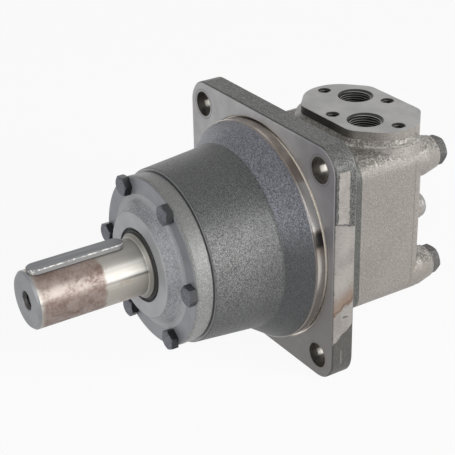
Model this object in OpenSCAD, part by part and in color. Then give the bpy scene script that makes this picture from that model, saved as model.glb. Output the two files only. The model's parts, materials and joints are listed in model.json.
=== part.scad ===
// Low-speed high-torque orbital wheel motor with a rear-set square flange.
// Frame: +Z up (ports on top), the shaft runs along Y and its free end points to -Y.
// Origin: centre of the mounting flange's front face, on the shaft axis. Millimetres.

/* [Output shaft] */
// Diameter of the keyed shaft end
shaft_d = 40; // [38:0.5:42]
// Distance from the flange face to the shaft's free end
shaft_reach = 182; // [180:1:200]
// Diameter of the seal journal and of the front bearing seat
journal_d = 50; // [49:0.5:51]
// Diameter of the shaft under the dust wiper
wiper_d = 45.6; // [45:0.2:46.4]
// How far that diameter stands out of the cover
journal_out = 1.6; // [1:0.2:4]
// Width of the parallel key
key_w = 12; // [8:1:14]
// Height of the parallel key
key_h = 8; // [6:0.5:9]
// Length of the parallel key over its round ends
key_len = 70; // [40:1:72]
// Distance from the shaft's free end to the key
key_setback = 2; // [2:0.5:5]
// Core diameter of the tapped hole in the shaft end
centre_thread_d = 10.2; // [8:0.1:12]

/* [Mounting flange] */
// Side of the square flange
flange_s = 175; // [172:1:184]
// Thickness of the flange
flange_t = 18; // [16:0.5:20]
// Corner radius of the flange
flange_r = 18; // [12:1:24]
// Chamfer of the flange's edges
flange_edge = 1.2; // [0.5:0.1:2]
// Bolt circle of the four flange holes
hole_pcd = 200; // [194:0.5:202]
// Diameter of the flange holes
hole_d = 18; // [14:0.5:19]
// Diameter of the centring pilot
pilot_d = 160; // [156:0.5:162]
// Height of the pilot in front of the flange
pilot_h = 8; // [6:0.5:10]

/* [Front housing] */
// Distance from the flange face to the cover joint
nose_len = 76; // [74:0.5:80]
// Diameter of the nose at the cover
nose_d = 124; // [122:0.5:128]
// Diameter of the nose where the flare starts
nose_root_d = 133; // [129:0.5:138]
// Distance from the flange face to the start of the flare
flare_y = 25; // [20:0.5:34]

/* [Front cover] */
// Diameter of the cover
cover_d = 120; // [119:0.5:122]
// Thickness of the cover's rim
cover_t = 13.5; // [12:0.5:16]
// Height of the hub in front of the rim
hub_h = 8.9; // [8.5:0.1:12]
// Outer diameter of the ring face around the shaft
ring_d = 73.2; // [70:0.2:76]
// Diameter of the hub where it meets the rim
hub_d = 92; // [88:0.5:94]
// Distance from the cover's edge to the bolt axes
cover_bolt_inset = 5.4; // [5:0.1:5.8]
// Number of cover bolts
cover_bolts_n = 6; // [5:1:6]

/* [Bearings] */
// Outer diameter of both tapered bearings
bearing_od = 90; // [89:0.5:91]
// Rollers in the front bearing
front_rollers_n = 18; // [12:1:18]
// Rollers in the rear bearing
rear_rollers_n = 19; // [12:1:19]

/* [Gear set] */
// Radius of the circle that carries the stator rollers
roller_pitch_r = 41; // [40.5:0.1:41.4]
// Radius of a stator roller
roller_r = 8.5; // [8:0.1:8.8]
// Eccentricity of the rotor
ecc = 3.2; // [2.8:0.1:3.4]
// Width of the gear ring
ring_w = 18; // [18:0.5:24]
// Thickness of the wear plate in front of the gear ring
wear_t = 4; // [4:0.5:6]
// Thickness of the channel plate behind the gear ring
channel_t = 5; // [5:0.5:8]

/* [Port housing] */
// Width and height of the square section
body_s = 118; // [116:1:124]
// Length of the port housing without its bosses
body_len = 58; // [57:0.5:62]
// Radius of the long edges
body_r = 14; // [10:0.5:16]
// Radius of the rear edges
rear_r = 11; // [6:0.5:11]
// Hole-to-hole distance of the four long bolts, both ways
tie_pitch = 88.5; // [88:0.1:90]
// Height of the rear bolt bosses
boss_h = 14.5; // [13:0.5:18]

/* [Port face] */
// Height of the port face above the shaft axis
pad_top = 70.3; // [69:0.1:74]
// Length of the port face across the motor
pad_len = 101.5; // [100:0.5:104]
// Width of the port face along the motor
pad_w = 65; // [64:0.5:67]
// Distance from the port housing's front to the middle of the port face
pad_y = 43.7; // [43:0.1:44.5]
// Core diameter of the two main ports
port_d = 24.1; // [22:0.1:24.2]
// Depth of the two main ports
port_depth = 18; // [16:0.5:19]
// Port to port distance across the motor
port_dx = 40.5; // [39:0.1:42]
// Port to port distance along the motor
port_dy = 23; // [22:0.1:24]
// Core diameter of the manifold threads
manifold_d = 8.5; // [6.8:0.1:8.6]
// Depth of the manifold threads
manifold_depth = 14; // [10:0.5:16]

/* [Hidden] */
$fn = 96;

// Clearances
seat = 0.02;
thread_gap = 0.05;
lip_gap = 0.08;
race_gap = 0.04;
pocket_gap = 0.05;
mesh_gap = 0.08;
side_gap = 0.05;
spline_gap = 0.5;
valve_gap = 0.06;
bolt_hole_gap = 0.5;

// Stations along the shaft axis
y_cover = -nose_len;
y_rim = y_cover - cover_t;
y_hub = y_rim - hub_h;
y_end = -shaft_reach;
spigot = 6;
shim_t = 1;
y_cup1 = y_cover + spigot + shim_t;
brg1_t = 21.75;
y_sh1 = y_cup1 + brg1_t;
y_back2 = 6;
brg2_t = 23;
y_sh2 = y_back2 - brg2_t;
y_tail = 10;
y_wear = flange_t;
y_gear = y_wear + wear_t;
y_chan = y_gear + ring_w;
y_body = y_chan + channel_t;
y_rear = y_body + body_len;
y_boss = y_rear + boss_h;
cover_pcd = cover_d - 2 * cover_bolt_inset;
relief_w = 1.2;
relief_d = 2;
relief_back = 1;
relief_floor = 0.5;

// Bearing sections
brg_r = bearing_od / 2;
bore1 = journal_d / 2;
bore2 = bore1 + 2.5;
wall1 = brg_r - bore1;
wall2 = brg_r - bore2;
race_at = [0.51, 0.486];
roller_share = [0.23, 0.246];
brg1 = [bore1, brg_r, brg1_t, 20, 17, bore1 + race_at[0] * wall1, roller_share[0] * wall1, 13.5,
    front_rollers_n];
brg2 = [bore2, brg_r, brg2_t, 23, 17.5, bore2 + race_at[1] * wall2, roller_share[1] * wall2, 15,
    rear_rollers_n];
axis_tilt = 12;

// Splines and links
teeth = 12;
spl_root = 13.2;
spl_tip = 16.4;
spl_w = 3.6;
vspl_root = 9.6;
vspl_tip = 12.2;
vspl_w = 2.6;
y_spl = -29;
spl_half = 5;
y_rot1 = y_gear + 4.4;
rot1_half = 3.6;
y_disc = y_gear + 9.9;
disc_t = 1.2;
y_rot2 = y_chan - 2.9;
rot2_half = 2.1;
y_val = y_body + 26;
val_half = 3.5;
link_run = y_rot1 - y_spl;
link_tilt = atan(ecc / link_run);
vlink_run = y_val - y_rot2;
vlink_tilt = atan(ecc / vlink_run);

// Disc valve and balance plate
valve_r = 37.5;
valve_t = 12;
hub_r = 21.5;
valve_bore = 13.5;
bal_r = valve_r + 0.4;
bal_t = 8;
bal_sp_r = bal_r - 6.9;
bal_sp = 8;
pin_x = hub_r + 5;
y_bal = y_body + valve_t + side_gap;
y_hubend = y_body + 31;

// Long bolts, port face and check valves
tie = tie_pitch / 2;
tie_r = 6;
half = body_s / 2;
boss_r1 = half - tie;
boss_r2 = 12.2;
tie_af = 19;
tie_head = 8;
face_ring_r = half - 5.7;
y_pad = y_body + pad_y;
pad_end_r = 28;
chk_x = 42;
chk_z = 4;
chk_out = 4;
plug_r = 9.6;
drain_r = 5.9;
y_seat = y_body + 34;
ball_r = 4;
check_r = 2;
ball_y = sqrt(ball_r * ball_r - check_r * check_r) + seat;

// Helpers: every axis-bound shape is drawn as (radius, y) or (x, z)
module ycyl(r, y0, y1) translate([0, y0, 0]) rotate([-90, 0, 0]) cylinder(r = r, h = y1 - y0);
module yrev() rotate([-90, 0, 0]) rotate_extrude() children();
module yex(y0, y1) translate([0, y1, 0]) rotate([90, 0, 0]) linear_extrude(y1 - y0) children();
module at_polar(r, a) translate([r * cos(a), 0, r * sin(a)]) children();
module at_ties() for (sx = [-1, 1], sz = [-1, 1]) translate([sx * tie, 0, sz * tie]) children();
function arc(cx, cy, r, a0, a1, n = 6) =
    [for (i = [0:n]) let (a = a0 + (a1 - a0) * i / n) [cx + r * cos(a), cy + r * sin(a)]];

// Square with round corners, from two bars and four discs
module round_square(h, r) {
    square([2 * h, 2 * (h - r)], center = true);
    square([2 * (h - r), 2 * h], center = true);
    for (sx = [-1, 1], sy = [-1, 1]) translate([sx * (h - r), sy * (h - r)]) circle(r);
}

// Chamfered hexagon head over z = -h to 0 and a plain shank over z = 0 to len
module hex_bolt(r, af, h, len, turn = 0) {
    corner = af / sqrt(3);
    flat_r = af * 0.47;
    intersection() {
        translate([0, 0, -h]) rotate([0, 0, turn]) cylinder(r = corner, h = h, $fn = 6);
        rotate_extrude() polygon([[0, -h], [flat_r, -h],
            [corner + 0.2, -h + (corner + 0.2 - flat_r) * tan(30)], [corner + 0.2, 0], [0, 0]]);
    }
    rotate_extrude() polygon([[0, -1], [r, -1], [r, len - 0.9], [r - 0.9, len], [0, len]]);
}

// Straight-sided spline section
module spline2d(root, tip, w, n = teeth) {
    circle(root);
    for (i = [0:n - 1]) rotate(i * 360 / n)
        polygon([[root - 1, -w * 0.56], [root, -w * 0.56], [tip, -w * 0.42],
            [tip, w * 0.42], [root, w * 0.56], [root - 1, w * 0.56]]);
}
module spline_cut(root, tip, w, y0, y1, n = teeth)
    yex(y0, y1) spline2d(root + spline_gap, tip + spline_gap, w + 2 * spline_gap, n);

module oring(r, y, c) yrev() translate([r, y]) circle(c, $fn = 32);

// Tapered bearing, s = 0 at the cone's back face; b = [bore r, outer r, width, cone width,
// cup width, roller circle r, roller r, roller length, count]. The rollers' taper brings cup, cone
// and rollers to one common apex on the shaft axis.
function b_taper(b) = atan(b[6] * sin(axis_tilt) / b[5]);
function b_u(b, s, side) = (s - b[3] / 2 - side * (b[6] + race_gap) * sin(axis_tilt))
    / (cos(axis_tilt) - side * tan(b_taper(b)) * sin(axis_tilt));
function b_race(b, s, side) = let (u = b_u(b, s, side))
    b[5] - u * sin(axis_tilt) + side * (b[6] - u * tan(b_taper(b)) + race_gap) * cos(axis_tilt);
function b_rib(b) = b[3] / 2 - b[7] / 2 * cos(axis_tilt)
    - (b[6] + b[7] / 2 * tan(b_taper(b))) * sin(axis_tilt) - 0.2;
function b_end(b) = b[3] / 2 + b[7] / 2 * cos(axis_tilt)
    - (b[6] - b[7] / 2 * tan(b_taper(b))) * sin(axis_tilt) + 0.9;

module place(y, dir) translate([0, y, 0]) rotate([dir > 0 ? -90 : 90, 0, 0]) children();

module cup(b) {
    s0 = b[2] - b[4];
    rotate_extrude() polygon([[b_race(b, s0, 1), s0], [b[1] - seat - 0.8, s0],
        [b[1] - seat, s0 + 0.8], [b[1] - seat, b[2] - 1], [b[1] - seat - 1, b[2]],
        [b_race(b, b[2], 1), b[2]]]);
}
module cone(b) {
    s1 = b_rib(b);
    s2 = b_end(b);
    rotate_extrude() polygon([[b[0] + seat, 1], [b[0] + seat + 1, 0],
        [b_race(b, s1, -1) + 2.2, 0], [b_race(b, s1, -1) + 2.2, s1], [b_race(b, s1, -1), s1],
        [b_race(b, s2, -1), s2], [b_race(b, s2, -1) + 0.8, s2],
        [b_race(b, s2, -1) + 0.8, b[3]], [b[0] + seat, b[3]]]);
}
module roller_body(b, grow = 0) {
    t = b[7] / 2 * tan(b_taper(b));
    translate([0, 0, -b[7] / 2 - grow])
        cylinder(r1 = b[6] + t + grow, r2 = b[6] - t + grow, h = b[7] + 2 * grow, $fn = 48);
}
module on_race(b) for (i = [0:b[8] - 1]) rotate([0, 0, i * 360 / b[8]])
    translate([b[5], 0, b[3] / 2]) rotate([0, -axis_tilt, 0]) children();
module cage(b) {
    u = b[7] / 2 + 1.5;
    w = 0.8;
    difference() {
        rotate_extrude() polygon([
            for (q = [[-u, w], [u, w], [u, -w], [-u, -w]])
            [b[5] + 0.8 - q[0] * sin(axis_tilt) + q[1] * cos(axis_tilt),
             b[3] / 2 + q[0] * cos(axis_tilt) + q[1] * sin(axis_tilt)]]);
        on_race(b) roller_body(b, 0.25);
    }
}

// Bearing housing: round nose, flare, pilot and square flange in one casting
module bearing_housing() color([0.36, 0.37, 0.40]) difference() {
    union() {
        yrev() polygon(concat(
            [[0, y_cover], [nose_d / 2 - 0.8, y_cover], [nose_d / 2, y_cover + 0.8]],
            [[nose_root_d / 2, -flare_y - 1.5], [nose_root_d / 2 + 0.9, -flare_y]],
            [[pilot_d / 2 - 1.6, -pilot_h - 1.2], [pilot_d / 2 - 0.8, -pilot_h]],
            [[pilot_d / 2, -pilot_h + 0.8], [pilot_d / 2, 1], [pilot_d / 2 - 6, 3], [0, 3]]));
        hull() {
            yex(flange_edge, flange_t - flange_edge) round_square(flange_s / 2, flange_r, $fn = 64);
            yex(0, flange_t)
                round_square(flange_s / 2 - flange_edge, flange_r - flange_edge, $fn = 64);
        }
    }
    ycyl(brg_r, y_cover - 1, y_back2);
    ycyl(brg_r - 9, 0, flange_t + 1);
    for (sx = [-1, 1], sz = [-1, 1])
        translate([sx * hole_pcd / sqrt(8), 0, sz * hole_pcd / sqrt(8)])
            ycyl(hole_d / 2, -1, flange_t + 1);
    at_ties() ycyl(tie_r + thread_gap, -8, flange_t + 1);
    for (i = [0:cover_bolts_n - 1]) at_polar(cover_pcd / 2, i * 360 / cover_bolts_n)
        ycyl(4 + thread_gap, y_cover - 1, y_cover + 17);
    yrev() translate([pilot_d / 2, 0]) polygon([[-relief_d, -relief_back],
        [relief_w + 0.4, -relief_back], [relief_w + 0.4, -relief_floor],
        [relief_w - 0.4, relief_floor], [-relief_d - 0.3, relief_floor]]);
    yrev() translate([face_ring_r - 1.3, flange_t - 1.85]) square([2.6, 3]);
}

module front_cover() color([0.56, 0.56, 0.58]) difference() {
    yrev() polygon(concat(
        [[brg_r - 5, y_cover + spigot], [brg_r - seat, y_cover + spigot]],
        [[brg_r - seat, y_cover + 3.6], [brg_r - 2.1, y_cover + 3.6],
         [brg_r - 2.1, y_cover + 1], [brg_r - seat, y_cover + 1], [brg_r - seat, y_cover]],
        [[cover_d / 2 - 1.2, y_cover], [cover_d / 2 - 0.4, y_cover - 0.8],
         [cover_d / 2, y_rim + 2], [cover_d / 2 - 0.5, y_rim + 0.7], [cover_d / 2 - 1.5, y_rim]],
        arc(hub_d / 2, y_rim - 4, 4, 90, 140, 5),
        [[ring_d / 2 + 1, y_hub + 0.9], [ring_d / 2, y_hub]],
        [[journal_d / 2 + 1.3, y_hub], [journal_d / 2 + 1.3, y_hub + 1.9],
         [journal_d / 2 + 5.05, y_hub + 1.9], [journal_d / 2 + 5.05, y_hub + 8.2],
         [journal_d / 2 + 7.52, y_hub + 8.2], [journal_d / 2 + 7.52, y_cover - 2],
         [brg_r - 5, y_cover - 2]]));
    for (i = [0:cover_bolts_n - 1]) at_polar(cover_pcd / 2, i * 360 / cover_bolts_n)
        ycyl(4 + bolt_hole_gap, y_rim - 1, y_cover + 1);
}

module cover_bolts() color([0.16, 0.16, 0.17])
    for (i = [0:cover_bolts_n - 1]) at_polar(cover_pcd / 2, i * 360 / cover_bolts_n)
        place(y_rim, 1) hex_bolt(4, 13, 5.5, cover_t + 14, [8, 25, 52, 40, 15, 33][i]);

module cover_oring() color([0.05, 0.05, 0.05]) oring(brg_r - 1.06, y_cover + 2.3, 0.98);

// Lip seal: cased body with a spring-loaded lip towards the bearings
module shaft_seal() color([0.08, 0.08, 0.08]) {
    r = journal_d / 2;
    y0 = y_hub + 8.2;
    yrev() polygon([[r + 7.5, y0], [r + 7.5, y0 + 8], [r + 6, y0 + 8], [r + 6, y0 + 2.5],
        [r + 2.6, y0 + 3], [r + 2.8, y0 + 6.6], [r + 1, y0 + 6.8], [r + lip_gap, y0 + 5.6],
        [r + 1.2, y0 + 2.4], [r + 1.2, y0]]);
}
module dust_wiper() color([0.04, 0.04, 0.04]) {
    r = journal_d / 2;
    rw = wiper_d / 2;
    yrev() polygon([[r + 1.25, y_hub + 1.3], [r + 1.25, y_hub + 1.95], [r + 5, y_hub + 1.95],
        [r + 5, y_hub + 6.9], [rw + 1.2, y_hub + 6.9], [rw + 0.9, y_hub + 3.6],
        [rw + lip_gap, y_hub + 1.2], [rw + lip_gap, y_hub - 0.3], [rw + 0.9, y_hub - 0.3],
        [rw + 1.5, y_hub + 0.3], [rw + 1.9, y_hub + 1.3]]);
}

module output_shaft() color([0.66, 0.64, 0.61]) difference() {
    r = shaft_d / 2;
    rj = journal_d / 2;
    rw = wiper_d / 2;
    yj = y_hub - journal_out;
    yrev() polygon([[0, y_end], [r - 1.5, y_end], [r, y_end + 1.5], [r, yj - 0.8 * (rw - r)],
        [rw, yj], [rw, y_hub + 7.1], [rj, y_hub + 7.1 + rj - rw], [rj, y_sh1],
        [rj + 7, y_sh1], [rj + 7, y_sh2], [rj + 2.5, y_sh2], [rj + 2.5, y_tail - 1],
        [rj + 1.5, y_tail], [0, y_tail]]);
    keyway();
    ycyl(centre_thread_d / 2, y_end - 1, y_end + 28);
    yrev() polygon([[0, y_end - 0.1], [centre_thread_d / 2 + 2, y_end - 0.1],
        [centre_thread_d / 2 + 2, y_end], [centre_thread_d / 2, y_end + 2.6], [0, y_end + 2.6]]);
    spline_cut(spl_root, spl_tip, spl_w, y_spl - 11, y_spl + 11);
    ycyl(spl_tip + 3.1, y_spl + 11, y_tail + 1);
}
module key_plan(g = 0) {
    l = key_len - key_w;
    translate([-key_w / 2 - g, -l / 2]) square([key_w + 2 * g, l]);
    for (s = [-1, 1]) translate([0, s * l / 2]) circle(key_w / 2 + g);
}
module keyway() translate([0, y_end + key_setback + key_len / 2, shaft_d / 2 + 3 - key_h])
    linear_extrude(key_h) key_plan(seat);
module shaft_key() color([0.50, 0.50, 0.52])
    translate([0, y_end + key_setback + key_len / 2, shaft_d / 2 + 3 - key_h]) hull() {
        linear_extrude(key_h - 0.6) key_plan($fn = 48);
        linear_extrude(key_h) scale([1 - 1.2 / key_w, 1 - 1.2 / key_len]) key_plan($fn = 48);
    }

module bearing_shim() color([0.7, 0.7, 0.7]) difference() {
    ycyl(brg_r - seat, y_cup1 - shim_t, y_cup1);
    ycyl(brg_r - 5, y_cup1 - shim_t - 1, y_cup1 + 1);
}
module front_bearing_cup() color([0.6, 0.6, 0.62]) place(y_sh1, -1) cup(brg1);
module front_bearing_cone() color([0.6, 0.6, 0.62]) place(y_sh1, -1) cone(brg1);
module front_bearing_rollers() color([0.75, 0.75, 0.77]) place(y_sh1, -1) on_race(brg1) roller_body(brg1);
module front_bearing_cage() color([0.55, 0.5, 0.4]) place(y_sh1, -1) cage(brg1);
module rear_bearing_cup() color([0.6, 0.6, 0.62]) place(y_sh2, 1) cup(brg2);
module rear_bearing_cone() color([0.6, 0.6, 0.62]) place(y_sh2, 1) cone(brg2);
module rear_bearing_rollers() color([0.75, 0.75, 0.77]) place(y_sh2, 1) on_race(brg2) roller_body(brg2);
module rear_bearing_cage() color([0.55, 0.5, 0.4]) place(y_sh2, 1) cage(brg2);

// Links: y = 0 at the on-axis spline, tilted towards the rotor's centre at rest
module drive_link() color([0.45, 0.45, 0.47])
    translate([0, y_spl, 0]) rotate([0, 0, -link_tilt]) {
        run = sqrt(link_run * link_run + ecc * ecc);
        yex(-spl_half, spl_half) spline2d(spl_root, spl_tip, spl_w);
        yex(run - rot1_half, run + rot1_half) spline2d(spl_root, spl_tip, spl_w);
        yrev() polygon([[0, -spl_half - 1], [5, -spl_half - 1], [6, -spl_half], [10.5, -spl_half],
            [10.5, run + rot1_half], [6, run + rot1_half], [5, run + rot1_half + 1.2],
            [0, run + rot1_half + 1.2]]);
    }
module valve_link() color([0.45, 0.45, 0.47])
    translate([0, y_val, 0]) rotate([0, 0, vlink_tilt]) {
        run = sqrt(vlink_run * vlink_run + ecc * ecc);
        yex(-val_half, val_half) spline2d(vspl_root, vspl_tip, vspl_w);
        yex(-run - rot2_half, -run + rot2_half) spline2d(spl_root, spl_tip, spl_w);
        yrev() polygon([[0, -run - rot2_half - 1], [5, -run - rot2_half - 1],
            [6, -run - rot2_half], [8.5, -run - rot2_half], [8.5, val_half], [5, val_half],
            [4, val_half + 1], [0, val_half + 1]]);
    }

module plate(y0, y1, hole = 0) difference() {
    yex(y0, y1) round_square(half, body_r);
    at_ties() ycyl(tie_r + bolt_hole_gap, y0 - 1, y1 + 1);
    if (hole > 0) ycyl(hole, y0 - 1, y1 + 1);
}
module wear_plate() color([0.52, 0.52, 0.54]) plate(y_wear, y_gear, 21);
module wear_plate_oring() color([0.05, 0.05, 0.05]) oring(face_ring_r, flange_t - 0.94, 0.9);

// Gear ring: lands between seven pockets that hold the rollers
land_r = roller_pitch_r - 1.4;
module gear_ring() color([0.5, 0.5, 0.52]) difference() {
    plate(y_gear, y_chan);
    yex(y_gear - 1, y_chan + 1) {
        circle(land_r);
        for (k = [0:6]) rotate(k * 360 / 7) translate([roller_pitch_r, 0])
            circle(roller_r + pocket_gap);
    }
    yrev() translate([face_ring_r - 1.3, y_gear - 1]) square([2.6, 2.85]);
    yrev() translate([face_ring_r - 1.3, y_chan - 1.85]) square([2.6, 3]);
}
module gear_ring_orings() color([0.05, 0.05, 0.05]) {
    oring(face_ring_r, y_gear + 0.94, 0.9);
    oring(face_ring_r, y_chan - 0.94, 0.9);
}
module stator_roller(k) color([0.72, 0.72, 0.74]) at_polar(roller_pitch_r, k * 360 / 7)
    ycyl(roller_r, y_gear + side_gap, y_chan - side_gap);

// Rotor outline: the curve that seven rollers leave free as the rotor orbits. Its points lie
// closer together in the valleys, where a straight step would bulge towards a roller.
function rotor_pt(t) = let (nx = roller_pitch_r * cos(t) - 7 * ecc * cos(7 * t),
    ny = roller_pitch_r * sin(t) - 7 * ecc * sin(7 * t), n = sqrt(nx * nx + ny * ny),
    k = (roller_r + mesh_gap) / n)
    [roller_pitch_r * cos(t) - ecc * cos(7 * t) - k * nx,
     roller_pitch_r * sin(t) - ecc * sin(7 * t) - k * ny];
rotor_steps = 192;
function rotor_turn(i) = let (s = i * 360 / rotor_steps) s - 90 / PI * sin(6 * s) / 6;
module rotor() color([0.62, 0.62, 0.64]) translate([ecc, 0, 0]) difference() {
    yex(y_gear + side_gap, y_chan - side_gap)
        polygon([for (i = [0:rotor_steps - 1]) rotor_pt(rotor_turn(i))]);
    spline_cut(spl_root, spl_tip, spl_w, y_gear - 1, y_chan + 1);
}
module stop_disc() color([0.6, 0.55, 0.4]) translate([ecc, 0, 0])
    ycyl(spl_root - 1, y_disc, y_disc + disc_t);

// Channel plate: seven holes that lead to the chambers between the rollers
module channel_plate() color([0.40, 0.41, 0.42]) difference() {
    plate(y_chan, y_body, 21);
    for (k = [0:6]) at_polar(34, (k + 0.5) * 360 / 7) ycyl(3.2, y_chan - 1, y_body + 1);
}
module channel_plate_oring() color([0.05, 0.05, 0.05]) oring(face_ring_r, y_body + 0.94, 0.9);

module disc_valve() color([0.58, 0.58, 0.6]) difference() {
    yrev() polygon([[0, y_body + side_gap], [valve_r, y_body + side_gap],
        [valve_r, y_body + valve_t], [hub_r, y_body + valve_t], [hub_r, y_hubend - 0.8],
        [hub_r - 0.8, y_hubend], [0, y_hubend]]);
    ycyl(valve_bore, y_body - 1, y_val - 6);
    spline_cut(vspl_root, vspl_tip, vspl_w, y_val - 7, y_hubend + 1);
    for (i = [0:5]) rotate([0, i * 60, 0]) {
        translate([valve_r - 6.5, y_body - 1, -3.2]) cube([12, 7, 6.4]);
        rotate([0, 30, 0]) translate([10, y_body - 1, -3.2]) cube([valve_r - 11.5, 7, 6.4]);
    }
}

module balance_plate() color([0.55, 0.55, 0.57]) difference() {
    yrev() polygon([[hub_r + valve_gap, y_bal], [bal_r, y_bal], [bal_r, y_bal + 2],
        [bal_r - 2, y_bal + 2], [bal_r - 2, y_bal + 4.6], [bal_r, y_bal + 4.6],
        [bal_r, y_bal + bal_t], [bal_sp_r, y_bal + bal_t], [bal_sp_r, y_bal + bal_t + 4],
        [bal_sp_r - 2, y_bal + bal_t + 4], [bal_sp_r - 2, y_bal + bal_t + 6.6],
        [bal_sp_r, y_bal + bal_t + 6.6], [bal_sp_r, y_bal + bal_t + bal_sp],
        [hub_r + 2.5, y_bal + bal_t + bal_sp], [hub_r + 2.5, y_bal + 4],
        [hub_r + valve_gap, y_bal + 4]]);
    for (s = [-1, 1]) translate([s * pin_x, 0, 0]) ycyl(1.55, y_bal + 11, y_bal + 17);
}
module balance_orings() color([0.05, 0.05, 0.05]) {
    oring(bal_r - 0.92, y_bal + 3.3, 0.98);
    oring(bal_sp_r - 0.92, y_bal + bal_t + 5.3, 0.98);
}
module balance_spring() color([0.5, 0.5, 0.5]) {
    y0 = y_bal + bal_t;
    yrev() polygon([[bal_sp_r + 0.8, y0], [bal_sp_r + 1.1, y0], [bal_r - 0.6, y0 + 2.3],
        [bal_r - 0.6, y0 + 3.3], [bal_r - 0.9, y0 + 3.3], [bal_sp_r + 0.8, y0 + 1]]);
}
module balance_pins() color([0.7, 0.7, 0.7]) for (s = [-1, 1]) translate([s * pin_x, 0, 0])
    ycyl(1.5, y_bal + 11.1, y_bal + 21);

// Port face outline: straight long sides and blunt round ends
module pad2d(g = 0, n = 64) hull() {
    for (s = [-1, 1]) {
        translate([s * (pad_len / 2 - pad_end_r), 0]) circle(pad_end_r + g, $fn = n);
        for (t = [-1, 1]) translate([s * 24, t * (pad_w / 2 - 12)]) circle(12 + g, $fn = n / 2);
    }
}
// One step of the hollow fillet at the foot of the port face's column
module pad_foot(z, h, g0, g1) translate([0, y_pad, z])
    linear_extrude(h, slices = 1, scale = [(pad_len / 2 + g1) / (pad_len / 2 + g0),
        (pad_w / 2 + g1) / (pad_w / 2 + g0)]) intersection() {
        pad2d(g0, 48);
        translate([-half, -pad_y]) square([body_s, body_len - 1]);
    }

// Rear boss of a long bolt: flush with the block's sides, drawn in towards the bolt's head
module tie_boss() yrev() polygon([[0, y_rear - rear_r - 1], [boss_r1, y_rear - rear_r - 1],
    [boss_r1, y_rear + 2], [boss_r2, y_boss - 0.9], [boss_r2 - 0.9, y_boss], [0, y_boss]]);
module port_places() for (s = [-1, 1])
    translate([s * port_dx / 2, y_pad - s * port_dy / 2, 0]) children();
module manifold_places() port_places() for (t = [-1, 1]) translate([t * 21.5, t * 12.4, 0]) children();

// Square section with its rear edges rounded both ways
module body_block() intersection() {
    yex(y_body, y_rear) round_square(half, body_r);
    translate([0, 0, -half - 1]) linear_extrude(body_s + 2) rear_outline();
    rotate([0, 90, 0]) translate([0, 0, -half - 1]) linear_extrude(body_s + 2) rear_outline();
}
module rear_outline() {
    translate([-half - 1, y_body - 1]) square([body_s + 2, body_len - rear_r + 1]);
    translate([-half + rear_r, y_body - 1]) square([body_s - 2 * rear_r, body_len + 1]);
    for (s = [-1, 1]) translate([s * (half - rear_r), y_rear - rear_r]) circle(rear_r);
}

module port_housing() color([0.62, 0.60, 0.56]) difference() {
    union() {
        body_block();
        // Column under the port face, sloped where it overhangs the rear
        intersection() {
            translate([0, y_pad, 20]) linear_extrude(pad_top - 20) pad2d();
            rotate([0, 90, 0]) translate([0, 0, -60]) linear_extrude(120)
                polygon([[-20, y_body], [-20, y_rear - 2], [-28, y_rear - 2],
                    [-50, y_rear + 19.5], [-pad_top - 1, y_rear + 19.5], [-pad_top - 1, y_body]]);
        }
        pad_foot(half - 6, 7, 7, 5);
        pad_foot(half + 1, 1.6, 5, 2.4);
        pad_foot(half + 2.6, 2.6, 2.4, 0.4);
        at_ties() tie_boss();
        for (s = [-1, 1]) translate([s * chk_x, y_rear - 8, chk_z]) rotate([-90, 0, 0])
            cylinder(r1 = plug_r + 2, r2 = plug_r + 0.6, h = 8 + chk_out);
    }
    // Stepped valve cavity
    ycyl(valve_r + 5.5, y_body - 1, y_body + 14);
    ycyl(bal_r + 0.1, y_body, y_bal + bal_t + 3.4);
    ycyl(bal_sp_r + 0.1, y_body, y_bal + bal_t + bal_sp + 1);
    ycyl(hub_r + 2, y_body, y_body + 40);
    for (s = [-1, 1]) translate([s * pin_x, 0, 0]) ycyl(1.55, y_bal + 12, y_bal + 21.5);
    yrev() translate([face_ring_r - 1.3, y_body - 1]) square([2.6, 2.85]);
    at_ties() ycyl(tie_r + bolt_hole_gap, y_body - 1, y_boss + 1);
    // Main ports with their passages, manifold threads
    port_places() {
        translate([0, 0, pad_top - port_depth]) cylinder(d = port_d, h = port_depth + 1);
        translate([0, 0, pad_top - 1.1]) cylinder(d1 = port_d, d2 = port_d + 2.4, h = 1.2);
    }
    manifold_places() {
        translate([0, 0, pad_top - manifold_depth]) cylinder(d = manifold_d, h = manifold_depth + 1);
        translate([0, 0, pad_top - 0.7]) cylinder(d1 = manifold_d, d2 = manifold_d + 1.6, h = 0.8);
    }
    passage([port_dx / 2, y_pad - port_dy / 2, pad_top - port_depth + 2], [13, y_body + 9, 36]);
    passage([-port_dx / 2, y_pad + port_dy / 2, pad_top - port_depth + 2], [-8, y_body + 34, 14]);
    // Check valves and the drain port that they empty into
    for (s = [-1, 1]) translate([s * chk_x, 0, chk_z]) {
        ycyl(5, y_seat, y_rear + chk_out);
        ycyl(6.5, y_seat + 13, y_rear + chk_out + 1);
        ycyl(check_r, s > 0 ? y_body + 10 : y_seat - 4, y_seat + 1);
    }
    translate([-chk_x - 1, y_seat - 3, chk_z]) rotate([0, 90, 0]) cylinder(r = 1.8, h = 26);
    translate([-chk_x, y_seat + 9.5, chk_z]) rotate([0, 90, 0]) cylinder(r = 1.8, h = 2 * chk_x);
    translate([-half - 1, y_seat + 9.5, chk_z]) rotate([0, 90, 0]) cylinder(r = drain_r, h = 14);
}
// Round passage between two points
module passage(p, q) {
    d = q - p;
    l = norm(d);
    translate(p) rotate([0, acos(d[2] / l), atan2(d[1], d[0])]) cylinder(r = 7, h = l);
}

module tie_bolts() color([0.2, 0.2, 0.21]) for (sx = [-1, 1], sz = [-1, 1])
    translate([sx * tie, 0, sz * tie]) place(y_boss, -1)
        hex_bolt(tie_r, tie_af, tie_head, y_boss + 4, 14 - 13 * sx + 2 * sz);

module check_ball(s) color([0.75, 0.75, 0.77])
    translate([s * chk_x, y_seat + ball_y, chk_z]) sphere(ball_r);
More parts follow.
